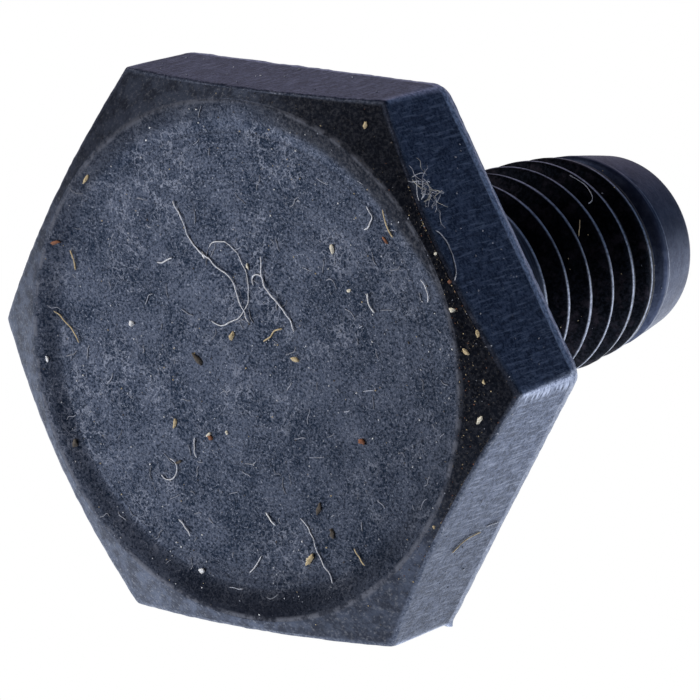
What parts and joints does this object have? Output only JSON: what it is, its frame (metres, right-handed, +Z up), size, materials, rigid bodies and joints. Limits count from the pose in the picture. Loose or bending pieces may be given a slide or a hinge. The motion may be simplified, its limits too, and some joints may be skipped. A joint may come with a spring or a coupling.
{
  "type": "hex bolt",
  "caption": "Partly threaded steel hex bolt with a wide, thin, chamfered head, a plain grip length and a coarse right-hand thread.",
  "frame": {"origin": "on the surface that the bolt lies on, under the middle of its length, with one flat of the head down", "axes": "+Y along the bolt's axis from head to tip; +X through two opposite corners of the head; +Z up, square to the head's upper flat"},
  "size_m": [0.0074, 0.0076, 0.0063],
  "materials": {
    "black_oxide_steel": "blackened (black oxide) steel, satin, with fine turning and grinding marks"
  },
  "bodies": {
    "root": {"hex_bolt": "black_oxide_steel"}
  },
  "joints": []
}
